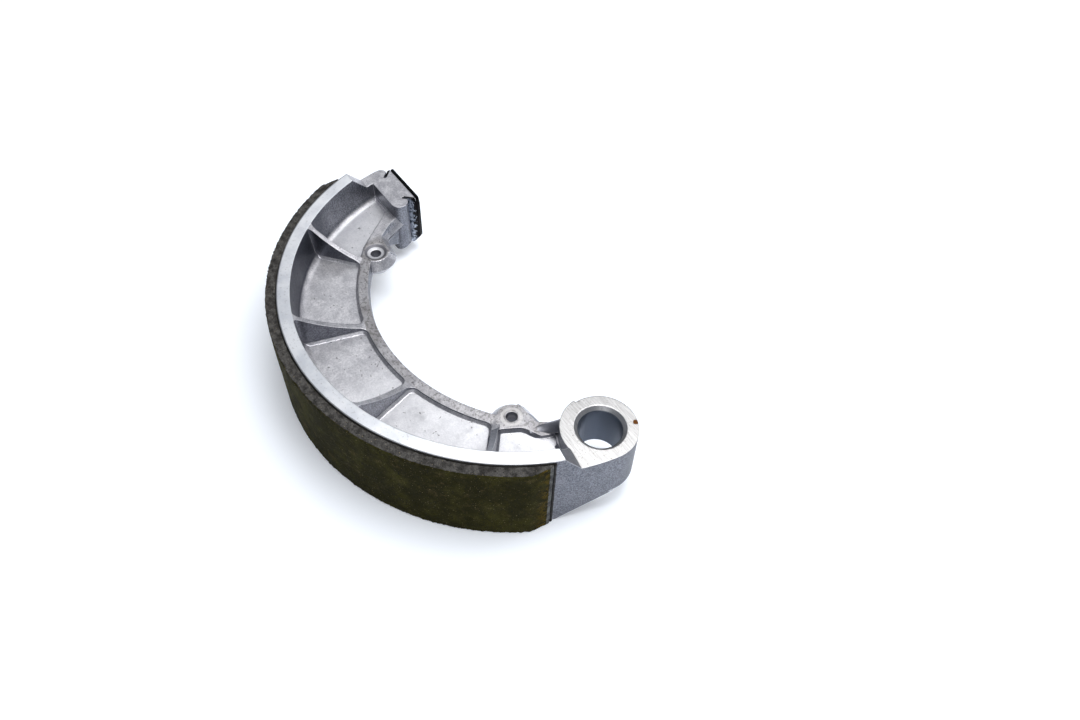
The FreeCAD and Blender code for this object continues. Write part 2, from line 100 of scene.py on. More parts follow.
bpy.ops.object.select_all(action="DESELECT")
bpy.ops.mesh.primitive_plane_add(size=sheet_size, location=(0.0, 0.0, ground_height))
ground = bpy.context.object
ground.name = "white_sheet"
bpy.ops.object.transform_apply(location=True)

sheet = bpy.data.materials.new("white_sheet")
sheet.use_nodes = True
tree = sheet.node_tree
tree.nodes.clear()
paper = add_node(tree, "ShaderNodeBsdfDiffuse", [("Color", (0.78, 0.82, 0.88, 1.0))])
rays = add_node(tree, "ShaderNodeLightPath")
seen = calculate(tree, "ADD", rays.outputs["Is Camera Ray"], rays.outputs["Is Glossy Ray"], clamp=True)
from_shoe = distance_from(tree, add_node(tree, "ShaderNodeTexCoord").outputs["Object"], shadow_middle)
open_sheet = add_node(tree, "ShaderNodeMapRange", [("Value", from_shoe), ("From Min", 0.10),
                                                   ("From Max", 0.75), ("To Min", 0.24), ("To Max", 0.95)])
lift = multiply(tree, seen, open_sheet.outputs["Result"])
glow = add_node(tree, "ShaderNodeEmission", [("Strength", lift)])
both = add_node(tree, "ShaderNodeAddShader", [(0, paper.outputs["BSDF"]), (1, glow.outputs["Emission"])])
add_node(tree, "ShaderNodeOutputMaterial", [("Surface", both.outputs["Shader"])])
ground.data.materials.append(sheet)

world = bpy.data.worlds.new("room")
bpy.context.scene.world = world
world.use_nodes = True
tree = world.node_tree
tree.nodes.clear()
room = add_node(tree, "ShaderNodeBackground", [("Color", (0.62, 0.70, 0.85, 1.0)), ("Strength", 0.22)])
white = add_node(tree, "ShaderNodeBackground", [("Color", (1.0, 1.0, 1.0, 1.0)), ("Strength", 1.0)])
rays = add_node(tree, "ShaderNodeLightPath")
mix = add_node(tree, "ShaderNodeMixShader", [("Fac", rays.outputs["Is Camera Ray"]),
                                             (1, room.outputs["Background"]),
                                             (2, white.outputs["Background"])])
add_node(tree, "ShaderNodeOutputWorld", [("Surface", mix.outputs["Shader"])])

for name, place, size, power in (
    ("overhead_softbox", (0.01, -0.03, 0.44), 0.30, 2.45),
    ("side_softbox", (-0.35, 0.40, 0.45), 0.35, 0.5),
    ("far_softbox", (0.36, -0.08, 0.24), 0.20, 0.10),
    ("window_softbox", (0.03, -0.42, 0.42), 0.42, 1.0),
):
    lamp_data = bpy.data.lights.new(name, "AREA")
    lamp_data.shape = "SQUARE"
    lamp_data.size = size
    lamp_data.energy = power
    lamp = bpy.data.objects.new(name, lamp_data)
    lamp.location = place
    lamp.rotation_euler = (lamp_target - Vector(place)).to_track_quat("-Z", "Y").to_euler()
    bpy.context.scene.collection.objects.link(lamp)

# The casting: crescent, eye, lugs and pad in one aluminium die casting. Its skin is as it left the
# die, and the table's two edges, the eye's faces and the bore are machined bright afterwards.
drum_centre = (0.07183314, -0.013, 0.0)
table_middle, table_edge = -0.001675, 0.0182
eye_side, eye_face = 0.022, 0.0097
bore_wall, chamfer_rim = 0.0077, 0.00902
neck_spot, neck_foot = (0.0125, 0.0125, 0.0045), 0.0030
dished_lug = (0.12003, 0.01960, 0.0023)
spring_hole = (0.023633, 0.0195995, 0.0036)
flange_top, flange_play = 0.0036, 0.00012
pocket_limit = 0.0030
rim_inside, rim_rounding = 0.08535, 0.00040
eye_stain, stain_radius, stain_fade = (-0.0050, -0.0110, 0.0099), 0.00105, 0.00045


def start_group(name, inputs, outputs):
    """Make an empty shader node group from pairs of socket name and kind, and give it with its ends."""
    group = bpy.data.node_groups.new(name, "ShaderNodeTree")
    for socket, kind in inputs:
        group.interface.new_socket(socket, in_out="INPUT", socket_type=kind)
    for socket, kind in outputs:
        group.interface.new_socket(socket, in_out="OUTPUT", socket_type=kind)
    return group, group.nodes.new("NodeGroupInput"), group.nodes.new("NodeGroupOutput")


def place_group(tree, group, values):
    """Put a group into a material with its own values."""
    return add_node(tree, "ShaderNodeGroup", values, node_tree=group)


def noise_at(tree, place, scale, detail=3.0, roughness=0.55):
    """Add a noise texture and give its value."""
    return add_node(tree, "ShaderNodeTexNoise", [("Vector", place), ("Scale", scale), ("Detail", detail),
                                                 ("Roughness", roughness)]).outputs["Fac"]


def between(tree, value, low, high):
    """Give a mask that rises smoothly from 0 at low to 1 at high."""
    made = add_node(tree, "ShaderNodeMapRange", [("Value", value), ("From Min", low), ("From Max", high)],
                    interpolation_type="SMOOTHSTEP", clamp=True)
    return made.outputs["Result"]


def rest_of(tree, mask):
    """Give what a mask leaves over."""
    return calculate(tree, "SUBTRACT", 1.0, mask)


def spread(tree, value, low, high):
    """Stretch a value that runs from 0 to 1, so that it runs from low to high."""
    made = add_node(tree, "ShaderNodeMapRange", [("Value", value), ("To Min", low), ("To Max", high)])
    return made.outputs["Result"]


def blend(tree, mask, below, above, mode="MIX", share=1.0):
    """Lay one colour over another by a mask, or by a share of it."""
    if share < 1.0:
        mask = multiply(tree, mask, share)
    made = add_node(tree, "ShaderNodeMix", data_type="RGBA", blend_type=mode)
    for socket, value in ((made.inputs["Factor"], mask), (made.inputs[6], below), (made.inputs[7], above)):
        if isinstance(value, bpy.types.NodeSocket):
            tree.links.new(value, socket)
        else:
            socket.default_value = value
    return made.outputs[2]


def move_origin(tree, place, spot):
    """Measure a place from another origin."""
    made = add_node(tree, "ShaderNodeVectorMath", [(0, place), (1, spot)], operation="SUBTRACT")
    return made.outputs["Vector"]


def from_axis(tree, place):
    """Give the distance from the upright axis through the origin."""
    plan = add_node(tree, "ShaderNodeVectorMath", [(0, place), (1, (1.0, 1.0, 0.0))], operation="MULTIPLY")
    made = add_node(tree, "ShaderNodeVectorMath", [(0, plan.outputs["Vector"])], operation="LENGTH")
    return made.outputs["Value"]


# Mottled grain with pits, at one size: the skin of a casting, of moulded compound or of steel.
grain, ends, out = start_group(
    "mottle_and_pits",
    (("Place", "NodeSocketVector"), ("Scale", "NodeSocketFloat"), ("Pit Share", "NodeSocketFloat")),
    (("Mottle", "NodeSocketFloat"), ("Grain", "NodeSocketFloat"), ("Pits", "NodeSocketFloat"),
     ("Height", "NodeSocketFloat")),
)
mottle = noise_at(grain, ends.outputs["Place"], ends.outputs["Scale"], 4.0, 0.6)
fine_scale = multiply(grain, ends.outputs["Scale"], 7.0)
fine = noise_at(grain, ends.outputs["Place"], fine_scale, 2.0, 0.7)
pit_scale = multiply(grain, ends.outputs["Scale"], 3.1)
pit_noise = noise_at(grain, ends.outputs["Place"], pit_scale, 2.0, 0.4)
pit_limit = rest_of(grain, ends.outputs["Pit Share"])
pits = between(grain, pit_noise, pit_limit, calculate(grain, "ADD", pit_limit, 0.05))
height = calculate(grain, "SUBTRACT", fine, multiply(grain, pits, 1.5))
for name, value in (("Mottle", mottle), ("Grain", fine), ("Pits", pits), ("Height", height)):
    grain.links.new(value, out.inputs[name])

# How much a point lies on an outer edge, where handling rubs the surface bright and where a painted highlight
# is laid.
worn_and_highlit_edge, ends, out = start_group(
    "rubbed_and_highlit_edge",
    (("Radius", "NodeSocketFloat"),),
    (("Edge", "NodeSocketFloat"), ("Normal", "NodeSocketVector")),
)
rounded = add_node(worn_and_highlit_edge, "ShaderNodeBevel", [("Radius", ends.outputs["Radius"])], samples=6)
surface = add_node(worn_and_highlit_edge, "ShaderNodeNewGeometry")
agreement = add_node(worn_and_highlit_edge, "ShaderNodeVectorMath",
                     [(0, rounded.outputs["Normal"]), (1, surface.outputs["Normal"])],
                     operation="DOT_PRODUCT").outputs["Value"]
on_edge = between(worn_and_highlit_edge, rest_of(worn_and_highlit_edge, agreement), 0.02, 0.20)
for name, value in (("Edge", on_edge), ("Normal", rounded.outputs["Normal"])):
    worn_and_highlit_edge.links.new(value, out.inputs[name])

# The machined faces: the table's two edges, the eye's two faces, and the bore with its chamfer.
cast = bpy.data.materials.new("die_cast_aluminium")
cast.use_nodes = True
tree = cast.node_tree
skin = tree.nodes["Principled BSDF"]
here = add_node(tree, "ShaderNodeTexCoord")
place = here.outputs["Object"]
at = add_node(tree, "ShaderNodeSeparateXYZ", [("Vector", place)])
facing = add_node(tree, "ShaderNodeSeparateXYZ", [("Vector", here.outputs["Normal"])])
levelness = calculate(tree, "ABSOLUTE", facing.outputs["Z"])
level = calculate(tree, "GREATER_THAN", levelness, 0.97)
off_middle = calculate(tree, "ABSOLUTE", calculate(tree, "SUBTRACT", at.outputs["Z"], table_middle))
on_rim = multiply(tree, level, calculate(tree, "GREATER_THAN", off_middle, table_edge))
from_web = calculate(tree, "ABSOLUTE", at.outputs["Z"])
by_eye = calculate(tree, "LESS_THAN", at.outputs["X"], eye_side)
on_eye = multiply(tree, level, by_eye, calculate(tree, "GREATER_THAN", from_web, eye_face))
on_eye_only = calculate(tree, "SUBTRACT", on_eye, on_rim, clamp=True)
from_bore = from_axis(tree, place)
in_bore = calculate(tree, "LESS_THAN", from_bore, bore_wall)
in_ring = calculate(tree, "SUBTRACT", calculate(tree, "LESS_THAN", from_bore, chamfer_rim),
                    calculate(tree, "ADD", in_bore, level), clamp=True)
machined = calculate(tree, "ADD", calculate(tree, "ADD", on_rim, on_eye_only),
                     calculate(tree, "ADD", in_bore, in_ring), clamp=True)

# The cast skin: a light grain on level faces, and on the walls a dark grain that is painted shade, darker
# where a face stands upright.
rough_skin = place_group(tree, grain, (("Place", place), ("Scale", 260.0), ("Pit Share", 0.30)))
edge = place_group(tree, worn_and_highlit_edge, (("Radius", 0.0005),))
cast_light = blend(tree, between(tree, rough_skin.outputs["Mottle"], 0.32, 0.68),
                   (0.50, 0.495, 0.52, 1.0), (0.74, 0.73, 0.745, 1.0))
cast_shaded = blend(tree, 1.0, cast_light, (0.70, 0.70, 0.72, 1.0), "MULTIPLY")
cast_grain = blend(tree, between(tree, rough_skin.outputs["Grain"], 0.35, 0.68), cast_shaded, cast_light)
wall_shade_grain = blend(tree, between(tree, rough_skin.outputs["Grain"], 0.38, 0.62),
                   (0.040, 0.046, 0.062, 1.0), (0.160, 0.172, 0.208, 1.0))
on_wall = between(tree, levelness, 0.65, 0.35)
wall_shade_share = calculate(tree, "ADD", multiply(tree, by_eye, 0.06), 0.80)
cast_wall_shade = blend(tree, multiply(tree, on_wall, wall_shade_share), cast_grain, wall_shade_grain)

# Painted shade: slopes beside the eye are darkened, and the walls that face away from the light are darker
# still.
slope = multiply(tree, between(tree, levelness, 0.985, 0.955), between(tree, levelness, 0.35, 0.55))
cast_slope_shade = blend(tree, multiply(tree, slope, by_eye), cast_wall_shade, (0.085, 0.095, 0.120, 1.0), share=0.75)
lee_side = multiply(tree, by_eye, between(tree, at.outputs["Y"], 0.002, -0.007), on_wall)
mid_crescent = multiply(tree, between(tree, at.outputs["X"], 0.055, 0.075),
                        between(tree, at.outputs["Y"], 0.026, 0.036))
deep_side = multiply(tree, mid_crescent, on_wall, between(tree, at.outputs["X"], 0.085, 0.105))
in_shade = calculate(tree, "ADD", lee_side, deep_side, clamp=True)
cast_shade = blend(tree, in_shade, cast_slope_shade, (0.035, 0.040, 0.056, 1.0), share=0.76)

# The neck and the lugs: painted shade on a patch of the neck, painted shade and a rougher finish in the dish
# round one spring hole, and a ring that a spring has pressed round the other.
above_foot = calculate(tree, "GREATER_THAN", at.outputs["Z"], neck_foot)
neck_shade_patch = multiply(tree, between(tree, distance_from(tree, place, neck_spot), 0.0062, 0.0034), above_foot)
cast_neck_shade = blend(tree, neck_shade_patch, cast_shade, (0.16, 0.16, 0.18, 1.0), share=0.45)
# Painted shade darkens the slopes of the dish, which is also made rougher below.
dull_shaded_dish = multiply(tree, between(tree, distance_from(tree, place, dished_lug), 0.0050, 0.0044),
                  between(tree, levelness, 0.995, 0.96))
cast_dish_shade = blend(tree, dull_shaded_dish, cast_neck_shade, (0.13, 0.13, 0.145, 1.0), share=0.92)
from_hole = distance_from(tree, place, spring_hole)
pressed_ring = multiply(tree, between(tree, from_hole, 0.0027, 0.0030),
                        between(tree, from_hole, 0.0041, 0.0037))

# The flange's top is worn in patches and dotted, and the pockets' floors are lightened with painted light.
on_flange = multiply(tree, level, between(tree, at.outputs["X"], 0.1290, 0.1250),
                     calculate(tree, "COMPARE", from_web, flange_top, flange_play))
worn_patch = between(tree, noise_at(tree, place, 75.0, 2.0, 0.5), 0.40, 0.62)
flange_share = calculate(tree, "ADD", 0.30, multiply(tree, worn_patch, 0.34))
cast_flange = blend(tree, multiply(tree, on_flange, flange_share), cast_dish_shade, (0.22, 0.205, 0.20, 1.0))
dots = between(tree, noise_at(tree, place, 900.0, 2.0, 0.6), 0.52, 0.60)
cast_dots = blend(tree, multiply(tree, on_flange, dots), cast_flange, (0.10, 0.095, 0.09, 1.0), share=0.5)
painted_floor_light = multiply(tree, between(tree, levelness, 0.80, 0.97),
                     calculate(tree, "LESS_THAN", from_web, pocket_limit),
                     rest_of(tree, multiply(tree, mid_crescent, 0.8)))
cast_floor_light = blend(tree, painted_floor_light, cast_dots, (0.86, 0.86, 0.88, 1.0), share=0.55)

# Over all of it lie stains, the pressed ring, pits, and painted shade in corners and crevices, found by an
# occlusion test.
stain = between(tree, noise_at(tree, place, 120.0, 4.0, 0.6), 0.56, 0.72)
cast_stain = blend(tree, stain, cast_floor_light, (0.20, 0.20, 0.22, 1.0), share=0.24)
cast_ring = blend(tree, pressed_ring, cast_stain, (0.58, 0.57, 0.56, 1.0), share=0.60)
cast_pits = blend(tree, rough_skin.outputs["Pits"], cast_ring, (0.055, 0.052, 0.056, 1.0), share=0.62)
occlusion_shade = add_node(tree, "ShaderNodeAmbientOcclusion", [("Distance", 0.004)], samples=4).outputs["AO"]
cast_crevice_shade = blend(tree, between(tree, occlusion_shade, 0.85, 0.35), cast_pits, (0.26, 0.26, 0.29, 1.0))

# Turning marks run round the drum's centre on the rim, and a cutter's marks run across the eye.
radius = from_axis(tree, move_origin(tree, place, drum_centre))
turning = add_node(tree, "ShaderNodeTexNoise", [("W", radius), ("Scale", 5200.0), ("Detail", 2.0)],
                   noise_dimensions="1D").outputs["Fac"]
cutter_turn = (0.0, 0.0, math.radians(28.0))
cutter_lines = add_node(tree, "ShaderNodeMapping", [("Vector", place), ("Rotation", cutter_turn),
                                                    ("Scale", (160.0, 5200.0, 160.0))]).outputs["Vector"]
milling = multiply(tree, noise_at(tree, cutter_lines, 1.0, 3.0, 0.6), rest_of(tree, on_rim))
marks = calculate(tree, "ADD", multiply(tree, turning, on_rim), milling)
smudge = between(tree, noise_at(tree, place, 95.0, 3.0, 0.6), 0.35, 0.70)
bright_rim = blend(tree, smudge, (0.72, 0.74, 0.78, 1.0), (0.92, 0.93, 0.95, 1.0))
bright_eye = blend(tree, between(tree, marks, 0.36, 0.64), (0.42, 0.41, 0.405, 1.0), (0.60, 0.595, 0.59, 1.0))
bright = blend(tree, on_rim, bright_eye, bright_rim)
specks = between(tree, noise_at(tree, place, 1400.0, 2.0, 0.5), 0.62, 0.68)
speck_share = calculate(tree, "SUBTRACT", 0.75, multiply(tree, on_rim, 0.50))
bright_specks = blend(tree, multiply(tree, specks, speck_share), bright, (0.22, 0.20, 0.18, 1.0))
ringed = blend(tree, in_ring, bright_specks, (0.36, 0.365, 0.38, 1.0), share=0.60)
# Painted shade: the outer strip of the rim's top, at its rounded corner, is painted dark.
rim_corner_shade = multiply(tree, on_rim, between(tree, radius, rim_inside, rim_inside + rim_rounding))
cornered_shade = blend(tree, rim_corner_shade, ringed, (0.13, 0.13, 0.14, 1.0), share=0.80)
# Painted shade: the bore is painted a dark blue-grey over its machined finish.
bore_shade = blend(tree, in_bore, cornered_shade, (0.11, 0.13, 0.17, 1.0))

# One brown stain sits on the eye's face, and edges are lightened over everything, as wear from handling and
# as a painted highlight.
from_stain = calculate(tree, "ADD", distance_from(tree, place, eye_stain),
                       multiply(tree, rough_skin.outputs["Grain"], 0.0006))
stained = between(tree, from_stain, stain_radius + stain_fade, stain_radius)
colour = blend(tree, stained, blend(tree, machined, cast_crevice_shade, bore_shade), (0.10, 0.036, 0.008, 1.0))
colour_worn_and_highlit = blend(tree, edge.outputs["Edge"], colour, (0.80, 0.81, 0.84, 1.0), share=0.6)
tree.links.new(colour_worn_and_highlit, skin.inputs["Base Color"])
skin.inputs["Metallic"].default_value = 0.90
cast_rough = spread(tree, noise_at(tree, place, 55.0, 3.0, 0.5), 0.34, 0.50)
cast_rough = calculate(tree, "ADD", cast_rough, multiply(tree, dull_shaded_dish, 0.22))
machined_rough = spread(tree, marks, 0.30, 0.46)
roughness = add_node(tree, "ShaderNodeMix", [("Factor", machined), (2, cast_rough), (3, machined_rough)],
                     data_type="FLOAT").outputs[0]
tree.links.new(roughness, skin.inputs["Roughness"])
cast_bump = multiply(tree, rough_skin.outputs["Height"], rest_of(tree, machined))
relief = calculate(tree, "ADD", cast_bump, multiply(tree, marks, machined, 0.35))
bump = add_node(tree, "ShaderNodeBump", [("Height", relief), ("Normal", edge.outputs["Normal"]),
                                         ("Strength", 0.55), ("Distance", 0.00009)])
tree.links.new(bump.outputs["Normal"], skin.inputs["Normal"])


def pick_up(piece):
    """Select one piece alone and make it the active one."""
    bpy.ops.object.select_all(action="DESELECT")
    piece.select_set(True)
    bpy.context.view_layer.objects.active = piece


def dressed_copy(node, name, material):
    """Copy a solid's mesh under a new name, with its material, and pick the copy up."""
    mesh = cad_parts[node].data.copy()
    mesh.materials.clear()
    mesh.materials.append(material)
    piece = bpy.data.objects.new(name, mesh)
    bpy.context.scene.collection.objects.link(piece)
    pick_up(piece)
    return piece


def finish_with(piece, name, kind, **settings):
    """Put one modifier on the active piece, set it and apply it."""
    modifier = piece.modifiers.new(name, kind)
    for setting, value in settings.items():
        setattr(modifier, setting, value)
    bpy.ops.object.modifier_apply(modifier=name)


weld = 0.000002
casting = dressed_copy("shoe_casting", "dressed_casting", cast)
bpy.ops.object.mode_set(mode="EDIT")
bpy.ops.mesh.select_all(action="SELECT")
bpy.ops.mesh.remove_doubles(threshold=weld, use_sharp_edge_from_normals=True)
bpy.ops.mesh.customdata_custom_splitnormals_clear()
bpy.ops.object.mode_set(mode="OBJECT")

# The pocket beside the eye runs on under the neck, so its corner is cut out of the neck's plate.
# The corner's outline is in millimetres.
mm = 0.001
pocket_corner = ((16.1, 19.75), (14.6, 19.1), (12.9, 17.6), (11.5, 15.7), (10.6, 13.6), (10.0, 11.4),
                 (8.2, 11.9), (6.4, 13.0), (6.2, 14.3), (9.0, 17.0), (13.0, 19.6))
pocket_floor, pocket_height = 0.00197, 0.0030
bpy.ops.object.select_all(action="DESELECT")
bpy.ops.mesh.primitive_circle_add(vertices=len(pocket_corner), radius=0.01, fill_type="NGON")
cutter = bpy.context.object
for vertex, (x, y) in zip(cutter.data.vertices, pocket_corner):
    vertex.co = (x * mm, y * mm, pocket_floor)
bpy.ops.object.mode_set(mode="EDIT")
bpy.ops.mesh.select_all(action="SELECT")
bpy.ops.mesh.extrude_region_move(TRANSFORM_OT_translate={"value": (0.0, 0.0, pocket_height)})
bpy.ops.mesh.select_all(action="SELECT")
bpy.ops.mesh.normals_make_consistent(inside=False)
bpy.ops.object.mode_set(mode="OBJECT")
pick_up(casting)
finish_with(casting, "carve", "BOOLEAN", operation="DIFFERENCE", solver="EXACT", object=cutter)
bpy.data.objects.remove(cutter)
bpy.ops.object.shade_smooth(keep_sharp_edges=True)
bpy.ops.object.mode_set(mode="EDIT")
bpy.ops.mesh.select_mode(type="EDGE")
bpy.ops.mesh.select_all(action="DESELECT")
bpy.ops.mesh.edges_select_sharp(sharpness=math.radians(34.0))
bpy.ops.mesh.mark_sharp()
bpy.ops.mesh.select_mode(type="VERT")
bpy.ops.object.mode_set(mode="OBJECT")
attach(casting, "root")
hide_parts("shoe_casting")

# The neck is part of the same aluminium casting. It rises from the spring lug to the eye's upper
# face in one hollow curve, between a narrow foot and a wide root. Its sizes are in millimetres.
by_the_eye, over_the_neck, by_the_lug = Vector((9.0, 8.0)), Vector((12.9, 10.6)), Vector((15.9, 17.6))
root_half_width, foot_half_width = 3.4, 1.3
foot_top, neck_rise, foot_dip = 3.72, 5.95, 0.30
root_shoulder, foot_shoulder = 1.75, 0.25
neck_wall = 1.6


def lay_grid(name, columns, rows):
    """Add a flat grid that runs from -1 to 1 both ways, to be shaped point by point."""
    bpy.ops.object.select_all(action="DESELECT")
    bpy.ops.mesh.primitive_grid_add(x_subdivisions=columns, y_subdivisions=rows, size=2.0)
    bpy.context.object.name = name
    return bpy.context.object


saddle = lay_grid("neck_saddle", 28, 14)
for vertex in saddle.data.vertices:
    along, side = (vertex.co.x + 1.0) / 2.0, vertex.co.y
    to_go = 1 - along
    path = by_the_eye * to_go ** 2 + over_the_neck * 2 * along * to_go + by_the_lug * along ** 2
    run = (over_the_neck - by_the_eye) * to_go + (by_the_lug - over_the_neck) * along
    across = Vector((run.y, -run.x)).normalized()
    half_width = root_half_width * to_go + foot_half_width * along
    plan = path + across * side * half_width
    shoulder = (foot_shoulder + root_shoulder * to_go) * abs(side) ** 2.5
    top = foot_top + neck_rise * to_go ** 2.3 - shoulder - foot_dip * along ** 5
    vertex.co = (plan.x * mm, plan.y * mm, top * mm)
finish_with(saddle, "body", "SOLIDIFY", thickness=neck_wall * mm, offset=1.0)
bpy.ops.object.shade_smooth_by_angle(angle=math.radians(45.0))
saddle.data.materials.append(cast)
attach(saddle, "root")

# The gusset is part of the same aluminium casting. Below the flange it runs down to the foot of
# the pad, deeper towards the pad and slightly hollow. Its sizes are in millimetres.
by_lug_side, by_pad_side = Vector((128.9, 11.2)), Vector((133.3, 2.9))
hollow_direction, hollow_depth = Vector((0.88, 0.47)), 0.8
gusset_top, lug_side_depth, pad_side_depth = -2.8, 1.4, 6.4
gusset_wall, gusset_rounding = 1.8, 0.5
gusset = lay_grid("pad_gusset", 16, 12)
for vertex in gusset.data.vertices:
    along, down = (vertex.co.x + 1.0) / 2.0, (1.0 - vertex.co.y) / 2.0
    hollow = hollow_depth * math.sin(math.pi * along) * (0.4 + 0.6 * down)
    plan = by_lug_side.lerp(by_pad_side, along) + hollow_direction * hollow
    height = gusset_top - down * (lug_side_depth + pad_side_depth * along ** 0.8)
    vertex.co = (plan.x * mm, plan.y * mm, height * mm)
finish_with(gusset, "body", "SOLIDIFY", thickness=gusset_wall * mm, offset=0.0)
finish_with(gusset, "softened", "BEVEL", width=gusset_rounding * mm, segments=3, limit_method="ANGLE")
bpy.ops.object.shade_smooth_by_angle(angle=math.radians(50.0))
gusset.data.materials.append(cast)
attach(gusset, "root")

# The lining: friction compound moulded to the drum's curve and ground to size. Its edges crumble,
# its ground face is rough and olive brown, and the cut sides are a speckled grey.
lining_low, lining_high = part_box("friction_lining")
lining_width = lining_high[2] - lining_low[2]
lining_middle = (lining_high[2] + lining_low[2]) / 2
lining_radius = 0.090
lining_thickness = 0.0038
glued_radius = lining_radius - lining_thickness
lining_start, lining_end = math.radians(20.2), math.radians(154.6)
lining_crown = (lining_start + lining_end) / 2
chamfer_angle = math.radians(4.6)
chamfer_foot = 0.0011
grit_size, close_weld = 0.00045, 0.000001
glue_margin, margin_fade, crumble_width = 0.0004, 0.0006, 0.0022
bpy.ops.object.select_all(action="DESELECT")
bpy.ops.mesh.primitive_cylinder_add(vertices=360, radius=lining_radius, depth=lining_width,
                                    end_fill_type="NOTHING", location=(*drum_centre[:2], lining_middle))
lining = bpy.context.object
lining.name = "lining_compound"
bpy.ops.object.transform_apply(location=True)
finish_with(lining, "wall", "SOLIDIFY", thickness=lining_thickness, offset=-1.0, use_rim=True)


def drum_point(distance, angle):
    """Give the point at a distance and an angle from the drum's centre."""
    x = drum_centre[0] + distance * math.cos(angle)
    y = drum_centre[1] + distance * math.sin(angle)
    return Vector((x, y, 0.0))


def cut_off(first, second, keep):
    """Cut a piece along the upright plane through two points, and keep the side of a third."""
    along = second - first
    normal = Vector((along.y, -along.x, 0.0)).normalized()
    if normal.dot(keep - first) > 0:
        normal = -normal
    bpy.ops.mesh.select_all(action="SELECT")
    bpy.ops.mesh.bisect(plane_co=first, plane_no=normal, clear_outer=True, use_fill=True)


crown = drum_point(lining_radius, lining_crown)
bpy.ops.object.mode_set(mode="EDIT")
for end_angle in (lining_start, lining_end):
    cut_off(drum_point(0.0, 0.0), drum_point(lining_radius, end_angle), crown)
for end_angle, inward in ((lining_start, 1.0), (lining_end, -1.0)):
    foot = drum_point(glued_radius + chamfer_foot, end_angle)
    shoulder = drum_point(lining_radius, end_angle + inward * chamfer_angle)
    cut_off(foot, shoulder, drum_point(glued_radius, lining_crown))
bpy.ops.mesh.select_all(action="SELECT")
bpy.ops.mesh.remove_doubles(threshold=close_weld)
bpy.ops.mesh.normals_make_consistent(inside=False)
bpy.ops.object.mode_set(mode="OBJECT")
finish_with(lining, "even", "REMESH", mode="VOXEL", voxel_size=grit_size, use_smooth_shade=True)

open_face = lining.vertex_groups.new(name="open_face")
crumbling = lining.vertex_groups.new(name="crumbling_edge")
for vertex in lining.data.vertices:
    distance = math.hypot(vertex.co.x - drum_centre[0], vertex.co.y - drum_centre[1])
    proud = min(1.0, max(0.0, (distance - glued_radius - glue_margin) / margin_fade))
    if proud > 0:
        open_face.add([vertex.index], proud, "REPLACE")
    to_edge = min(lining_high[2] - vertex.co.z, vertex.co.z - lining_low[2])
    near = max(0.0, 1.0 - (to_edge + max(0.0, lining_radius - distance)) / crumble_width)
    if near > 0 and proud > 0:
        crumbling.add([vertex.index], near, "REPLACE")
for name, scale, depth, contrast, intensity, group, strength, mid_level in (
    ("waves", 0.007, 1, 1.0, 1.0, "open_face", 0.00018, 0.5),
    ("crumbs", 0.0009, 2, 1.0, 1.0, "open_face", 0.00014, 0.5),
    ("chips", 0.0010, 3, 3.0, 0.75, "crumbling_edge", -0.00026, 0.0),
):
    texture = bpy.data.textures.new("lining_" + name, "CLOUDS")
    texture.noise_scale = scale
    texture.noise_depth = depth
    texture.contrast = contrast
    texture.intensity = intensity
    finish_with(lining, name, "DISPLACE", texture=texture, texture_coords="LOCAL", vertex_group=group,
                strength=strength, mid_level=mid_level)
bpy.ops.object.shade_smooth()

compound = bpy.data.materials.new("friction_compound")
compound.use_nodes = True
tree = compound.node_tree
body = tree.nodes["Principled BSDF"]
here = add_node(tree, "ShaderNodeTexCoord")
place = here.outputs["Object"]
facing = add_node(tree, "ShaderNodeSeparateXYZ", [("Vector", here.outputs["Normal"])])
fibres = place_group(tree, grain, (("Place", place), ("Scale", 420.0), ("Pit Share", 0.36)))
on_side = between(tree, calculate(tree, "ABSOLUTE", facing.outputs["Z"]), 0.55, 0.85)

# The chamfered ends are told by their angle from the crown, with a ragged border.
split = add_node(tree, "ShaderNodeSeparateXYZ", [("Vector", move_origin(tree, place, drum_centre))])
turn = calculate(tree, "ARCTAN2", split.outputs["Y"], split.outputs["X"])
ragged = multiply(tree, calculate(tree, "SUBTRACT", fibres.outputs["Mottle"], 0.5), 0.012)
off_crown = calculate(tree, "ABSOLUTE", calculate(tree, "SUBTRACT", turn, lining_crown))
from_crown = calculate(tree, "ADD", off_crown, ragged)
end_reach = (lining_end - lining_start) / 2 - 0.0150
on_end = multiply(tree, between(tree, from_crown, end_reach, end_reach + 0.0015), rest_of(tree, on_side))
by_corner = multiply(tree, between(tree, from_crown, end_reach - 0.055, end_reach - 0.010),
                     between(tree, fibres.outputs["Mottle"], 0.42, 0.60))

patches = between(tree, noise_at(tree, place, 85.0, 4.0, 0.65), 0.42, 0.66)
ochre = between(tree, noise_at(tree, place, 230.0, 5.0, 0.7), 0.55, 0.70)
olive = blend(tree, patches, (0.027, 0.024, 0.0034, 1.0), (0.062, 0.056, 0.010, 1.0))
olive_ochre = blend(tree, ochre, olive, (0.12, 0.09, 0.035, 1.0), share=0.6)
ground_face = blend(tree, by_corner, olive_ochre, (0.15, 0.10, 0.012, 1.0), share=0.75)
speckle = between(tree, fibres.outputs["Mottle"], 0.35, 0.62)
side_grey = blend(tree, speckle, (0.034, 0.032, 0.030, 1.0), (0.094, 0.090, 0.085, 1.0))
end_grey = blend(tree, speckle, (0.10, 0.10, 0.10, 1.0), (0.24, 0.24, 0.23, 1.0))
lining_colour = blend(tree, on_end, blend(tree, on_side, ground_face, side_grey), end_grey)
lining_shaded = blend(tree, 1.0, lining_colour, (0.55, 0.55, 0.55, 1.0), "MULTIPLY")
grainy = blend(tree, between(tree, fibres.outputs["Grain"], 0.40, 0.66), lining_shaded, lining_colour)
